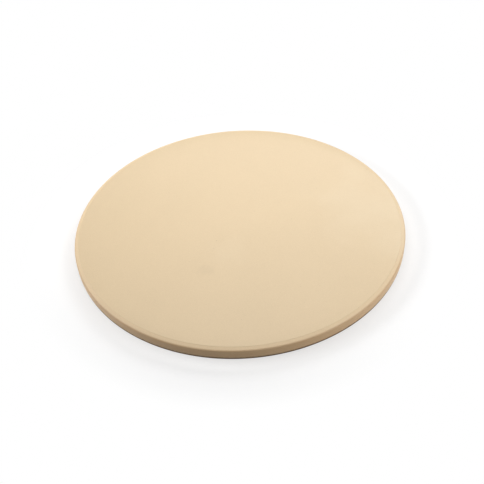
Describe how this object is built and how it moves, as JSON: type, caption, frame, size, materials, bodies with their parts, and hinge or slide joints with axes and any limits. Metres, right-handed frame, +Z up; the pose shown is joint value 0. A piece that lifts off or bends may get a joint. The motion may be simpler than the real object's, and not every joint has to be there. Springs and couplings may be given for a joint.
{
  "type": "pizza stone",
  "caption": "Round flat baking stone of bare cordierite, alike on both faces, with a narrow sloped band round each face and a plain upright rim.",
  "frame": {"origin": "centre of the round face that the plate rests on", "axes": "+Z up through the plate's thickness, along its axis of revolution; X and Y lie in the resting face"},
  "size_m": [0.33, 0.33, 0.012],
  "materials": {
    "cordierite": "matte"
  },
  "bodies": {
    "root": {"stone_plate": "cordierite"}
  },
  "joints": []
}
